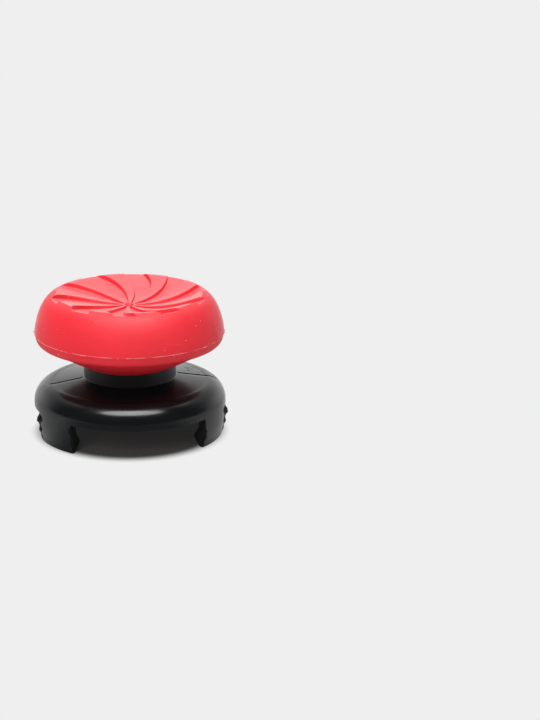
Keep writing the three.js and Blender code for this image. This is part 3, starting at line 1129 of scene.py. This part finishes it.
def plastic_material(finish, wear, clip, groups):
    """Glossy black moulded plastic with a little dust, and a scuffed patch on the deck."""
    material, tree, shader = blank_material("Glossy black plastic")
    place, placed = place_effects(tree, groups, {
        "grain": {"Grain": PLASTIC_GRAIN},
        "dust": {"Spacing": wear.plastic_spacing, "Speck": wear.plastic_speck},
        "scratches": {"Spacing": wear.plastic_hair_spacing, "Width": wear.plastic_hair_width,
                      "Share": wear.plastic_hair_share},
    })
    away = vector(tree, "DISTANCE", place, wear.scuff_place).outputs["Value"]
    scuffed = band(tree, away, wear.scuff_outer, wear.scuff_inner)
    scuffs = calculate(tree, "MULTIPLY", placed["scratches"]["Mask"], scuffed)
    worn = calculate(tree, "MULTIPLY", placed["dust"]["Mask"], PLASTIC_DUST)
    tint = mixed(tree, worn, opaque(finish.plastic), opaque(finish.pale_dust))
    tree.links.new(tint, shader.inputs["Base Color"])
    stem_foot = clip.deck_z + clip.deck_rise
    stem = band(tree, height_of(tree, place), stem_foot + STEM_FROM, stem_foot + STEM_FULL)
    smooth = rough_by_patches(tree, placed["grain"]["Patches"], finish.plastic_roughness)
    clean = add_node(
        tree, "ShaderNodeMapRange",
        {"Value": stem, "To Min": smooth, "To Max": finish.stem_roughness},
    )
    dulled = calculate(tree, "MULTIPLY", scuffs, SCUFF_ROUGHNESS)
    rough = calculate(tree, "ADD", clean.outputs["Result"], dulled)
    tree.links.new(rough, shader.inputs["Roughness"])
    grain = calculate(tree, "MULTIPLY", placed["grain"]["Height"], GRAIN_SHARE)
    cuts = calculate(tree, "SUBTRACT", grain, scuffs)
    bumped(tree, shader, cuts, strength=1.0, distance=0.02 * MM)
    return material


def torn_material(finish, groups):
    """The rough ends of the prongs, where the moulding was trimmed."""
    material, tree, shader = blank_material("Torn plastic")
    placed = place_effects(tree, groups, {"grain": {"Patch": TORN_PATCH}})[1]
    tint = mixed(tree, placed["grain"]["Patches"], opaque(finish.torn), opaque(finish.plastic))
    tree.links.new(tint, shader.inputs["Base Color"])
    shader.inputs["Roughness"].default_value = finish.torn_roughness
    bumped(tree, shader, placed["grain"]["Height"], strength=0.6, distance=0.05 * MM)
    return material


def effect_groups():
    """The shared effects, made once."""
    makers = {
        "dust": ("Dust specks", dust_group),
        "scratches": ("Handling scratches", scratch_group),
        "grain": ("Moulding grain", grain_group),
    }
    made = bpy.data.node_groups
    return {key: made.get(name) or make() for key, (name, make) in makers.items()}


# Stage

# The floor: metres from the axis to its sides, and its grain's size, noise levels and darkness
FLOOR_REACH = 3.0
FLOOR_GRAIN = 0.25 * MM
GRAIN_LEVELS = (0.3, 0.7)
GRAIN_DARKEST = 0.72

# Lamps: place and size in metres, watts, whether it lights matt surfaces, whether gloss shows it
LAMPS = {
    "Overhead light": ((0, -0.1, 1.0), (0.5, 0.5), 7.0, True, False),
    "Overhead sheen": ((-0.03, -0.35, 0.93), (0.95, 0.5), 9.8, False, True),
    "Front fill": ((-0.5, -0.8, 0.6), (0.7, 0.5), 5.4, True, False),
}

# Where the studio changes, by how far a way faces its front: 1 is the front and -1 the back
FAR_FLOOR_FACING = (-0.3, -0.9)
NEAR_FLOOR_FACING = (0.3, 0.8)
NEAR_WALL_FACING = (-0.8, 0.0)
# Where the studio changes, by how steeply a way rises: 0 is level and 1 straight up
HIGH_WALL_RISE = (0.15, 0.6)
SCREEN_FOOT_RISE = (0.72, 0.82)
SCREEN_TOP_RISE = (0.99, 0.95)
NEAR_WALL_RISE = (0.99, 0.9)
AMBIENT_RISE = (0.0, 0.5)


def front_way(settings):
    """The level way to the studio's dim front."""
    return Vector((-math.sin(settings.front_turn), -math.cos(settings.front_turn), 0))


def facing(tree, way, settings):
    """1 for a way to the studio's front, 0 for one to its sides and -1 for one to its back."""
    share = vector(tree, "DOT_PRODUCT", outward(tree, way), front_way(settings))
    return share.outputs["Value"]


def glowing(tree, tint):
    return add_node(tree, "ShaderNodeEmission", {"Color": tint}).outputs[0]


def matt(tree, tint):
    return add_node(tree, "ShaderNodeBsdfDiffuse", {"Color": tint}).outputs[0]


def blended(tree, share, first, second):
    """The output of one mix of two shaders."""
    return add_node(tree, "ShaderNodeMixShader", {0: share, 1: first, 2: second}).outputs[0]


def floor_material(settings):
    """A pale floor with a painted shadow under the object: a dark matt colour that the lamps shade,
    with a faint painted glow added, blending out to the pale glow by the distance from the axis.
    Beyond it, the floor glows in reflections and is dim in front.
    """
    material, tree, shader = blank_material("Pale floor")
    tree.nodes.remove(shader)
    output = tree.nodes["Material Output"]
    place = add_node(tree, "ShaderNodeTexCoord").outputs["Object"]
    grain = add_node(
        tree, "ShaderNodeTexNoise", {"Vector": place, "Scale": 1 / FLOOR_GRAIN, "Detail": 3.0}
    )
    # Painted shadow: the floor under the object gets a dark colour, which the lamps then shade
    darkest = [value * GRAIN_DARKEST for value in settings.painted_shadow]
    specks = band(tree, grain.outputs["Fac"], *GRAIN_LEVELS)
    painted_shadow = matt(tree, mixed(tree, specks, opaque(settings.painted_shadow), opaque(darkest)))
    shift = front_way(settings) * settings.shadow_shift
    shifted = vector(tree, "SUBTRACT", place, shift).outputs[0]
    away = vector(tree, "LENGTH", shifted).outputs["Value"]
    past_painted_shadow = band(tree, away, settings.shadow_inner, settings.shadow_outer)
    # A faint painted glow in the painted shadow
    fill = glowing(tree, opaque(settings.fill))
    filled = add_node(tree, "ShaderNodeAddShader", {0: painted_shadow, 1: fill}).outputs[0]
    seen = blended(tree, past_painted_shadow, filled, glowing(tree, opaque(settings.pale)))
    front = facing(tree, place, settings)
    far, near = band(tree, front, *FAR_FLOOR_FACING), band(tree, front, *NEAR_FLOOR_FACING)
    glow = mixed(tree, far, opaque(settings.side_floor), opaque(settings.far_floor))
    glow = mixed(tree, near, glow, opaque(settings.near_floor))
    mirrored = blended(tree, past_painted_shadow, painted_shadow, glowing(tree, glow))
    bounce = blended(tree, past_painted_shadow, painted_shadow, matt(tree, opaque(settings.bounce)))
    ray = add_node(tree, "ShaderNodeLightPath").outputs
    shown = blended(tree, ray["Is Glossy Ray"], bounce, mirrored)
    shown = blended(tree, ray["Is Camera Ray"], shown, seen)
    tree.links.new(shown, output.inputs["Surface"])
    return material


# The camera's frame in millimetres, and the metres between which it sees
SENSOR_WIDTH = 36
NEAREST, FARTHEST = 1 * MM, 100


def add_camera(context, settings):
    data = bpy.data.cameras.new("Camera")
    data.lens = settings.lens
    data.sensor_width = SENSOR_WIDTH
    data.clip_start, data.clip_end = NEAREST, FARTHEST
    camera = bpy.data.objects.new("Camera", data)
    context.collection.objects.link(camera)
    camera.location = (settings.camera_x, settings.camera_y, settings.camera_z)
    level = math.cos(settings.camera_dip)
    ahead = Vector((
        math.sin(settings.camera_turn) * level,
        math.cos(settings.camera_turn) * level,
        -math.sin(settings.camera_dip),
    ))
    camera.rotation_mode = "QUATERNION"
    upright = ahead.to_track_quat("-Z", "Y")
    camera.rotation_quaternion = upright @ Quaternion((0, 0, 1), settings.camera_roll)
    context.scene.camera = camera


def add_softbox(context, name, place, size, power, lights, mirrored):
    """A lamp that faces the object and lights matt surfaces, or shows in glossy ones."""
    data = bpy.data.lights.new(name, "AREA")
    data.shape = "ELLIPSE"
    data.size, data.size_y = size
    data.energy = power
    lamp = bpy.data.objects.new(name, data)
    context.collection.objects.link(lamp)
    lamp.location = place
    lamp.rotation_mode = "QUATERNION"
    lamp.rotation_quaternion = (-Vector(place)).to_track_quat("-Z", "Y")
    lamp.visible_diffuse = lights
    lamp.visible_glossy = mirrored


def light_world(context, settings):
    """A plain studio: pale behind, beside and above, dim in front."""
    world = bpy.data.worlds.new("Studio")
    world.use_nodes = True
    context.scene.world = world
    tree = world.node_tree
    way = add_node(tree, "ShaderNodeTexCoord").outputs["Generated"]
    rise = height_of(tree, way)
    high_wall = band(tree, rise, *HIGH_WALL_RISE)
    walls = mixed(tree, high_wall, opaque(settings.wall), opaque(settings.high_wall))
    screen = calculate(
        tree, "MULTIPLY", band(tree, rise, *SCREEN_FOOT_RISE), band(tree, rise, *SCREEN_TOP_RISE)
    )
    walls = mixed(tree, screen, walls, opaque([settings.screen] * 3))
    front = band(tree, facing(tree, way, settings), *NEAR_WALL_FACING)
    near = calculate(tree, "MULTIPLY", front, band(tree, rise, *NEAR_WALL_RISE))
    mirrored = mixed(tree, near, walls, opaque(settings.near_wall))
    above = band(tree, rise, *AMBIENT_RISE)
    ambient = mixed(tree, above, opaque(settings.ambient_low), opaque(settings.ambient))
    ray = add_node(tree, "ShaderNodeLightPath").outputs
    lit = mixed(tree, ray["Is Glossy Ray"], ambient, mirrored)
    lit = mixed(tree, ray["Is Camera Ray"], lit, opaque(settings.pale))
    tree.links.new(lit, tree.nodes["Background"].inputs["Color"])


def show(context, name, mesh, materials, node):
    """Puts a mesh into the scene in place of a node of the frame."""
    piece = bpy.data.objects.new(name, mesh)
    context.collection.objects.link(piece)
    for material in materials:
        mesh.materials.append(material)
    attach(piece, "root")
    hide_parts(node)


class THUMBGRIP_OT_head(bpy.types.Operator):
    """Build the moulded rubber head with its tread"""

    bl_idname = "thumb_grip.head"
    bl_label = "Moulded Head"

    def execute(self, context):
        scene = context.scene
        form = HeadForm(scene.grip_head, scene.grip_tread, scene.grip_clip)
        shared = (scene.grip_finish, scene.grip_wear, scene.grip_head, effect_groups())
        # Two copies of the rubber: the upper one with a painted sheen, the lower one with a painted
        # shade in reflections
        upper = rubber_material("Upper rubber with painted sheen", *shared, upper=True)
        lower = rubber_material("Lower rubber with painted shade", *shared, upper=False)
        show(context, "moulded_head", form.mesh(), [upper, lower], "grip_head")
        return {"FINISHED"}


class THUMBGRIP_OT_clip(bpy.types.Operator):
    """Build the glossy hard clip with its three prongs"""

    bl_idname = "thumb_grip.clip"
    bl_label = "Moulded Clip"

    def execute(self, context):
        scene = context.scene
        form = ClipForm(scene.grip_clip, scene.grip_prong)
        finish, groups = scene.grip_finish, effect_groups()
        plastic = plastic_material(finish, scene.grip_wear, scene.grip_clip, groups)
        torn = torn_material(finish, groups)
        show(context, "moulded_clip", form.mesh(), [plastic, torn], "clip_base")
        return {"FINISHED"}


class THUMBGRIP_OT_stage(bpy.types.Operator):
    """Build the pale floor, the soft light and the camera"""

    bl_idname = "thumb_grip.stage"
    bl_label = "Stage"

    def execute(self, context):
        scene = context.scene
        settings = scene.grip_stage
        patches = Patches()
        lines = (-FLOOR_REACH, 0, FLOOR_REACH)
        patches.grid([[(x, y, 0) for x in lines] for y in lines])
        floor = bpy.data.objects.new("floor", patches.mesh("floor"))
        context.collection.objects.link(floor)
        floor.data.materials.append(floor_material(settings))
        for name, lamp in LAMPS.items():
            add_softbox(context, name, *lamp)
        light_world(context, settings)
        add_camera(context, settings)
        scene.view_settings.view_transform = "Standard"
        return {"FINISHED"}


OPERATORS = (THUMBGRIP_OT_head, THUMBGRIP_OT_clip, THUMBGRIP_OT_stage)


class THUMBGRIP_PT_panel(bpy.types.Panel):
    """Lists the thumb grip's pieces"""

    bl_idname = "THUMBGRIP_PT_panel"
    bl_label = "Thumb Grip"
    bl_space_type = "VIEW_3D"
    bl_region_type = "UI"
    bl_category = "Thumb Grip"

    def draw(self, context):
        for operator in OPERATORS:
            self.layout.operator(operator.bl_idname)


SETTINGS = {
    "grip_head": HeadSizes,
    "grip_tread": TreadSizes,
    "grip_clip": ClipSizes,
    "grip_prong": ProngSizes,
    "grip_finish": Finish,
    "grip_wear": Wear,
    "grip_stage": StageSettings,
}
CLASSES = (*SETTINGS.values(), *OPERATORS, THUMBGRIP_PT_panel)


def register():
    for item in CLASSES:
        bpy.utils.register_class(item)
    for name, group in SETTINGS.items():
        setattr(bpy.types.Scene, name, PointerProperty(type=group))


def unregister():
    for name in SETTINGS:
        delattr(bpy.types.Scene, name)
    for item in reversed(CLASSES):
        bpy.utils.unregister_class(item)


def main():
    register()
    bpy.ops.thumb_grip.head()
    bpy.ops.thumb_grip.clip()
    bpy.ops.thumb_grip.stage()


if __name__ == "__main__":
    main()
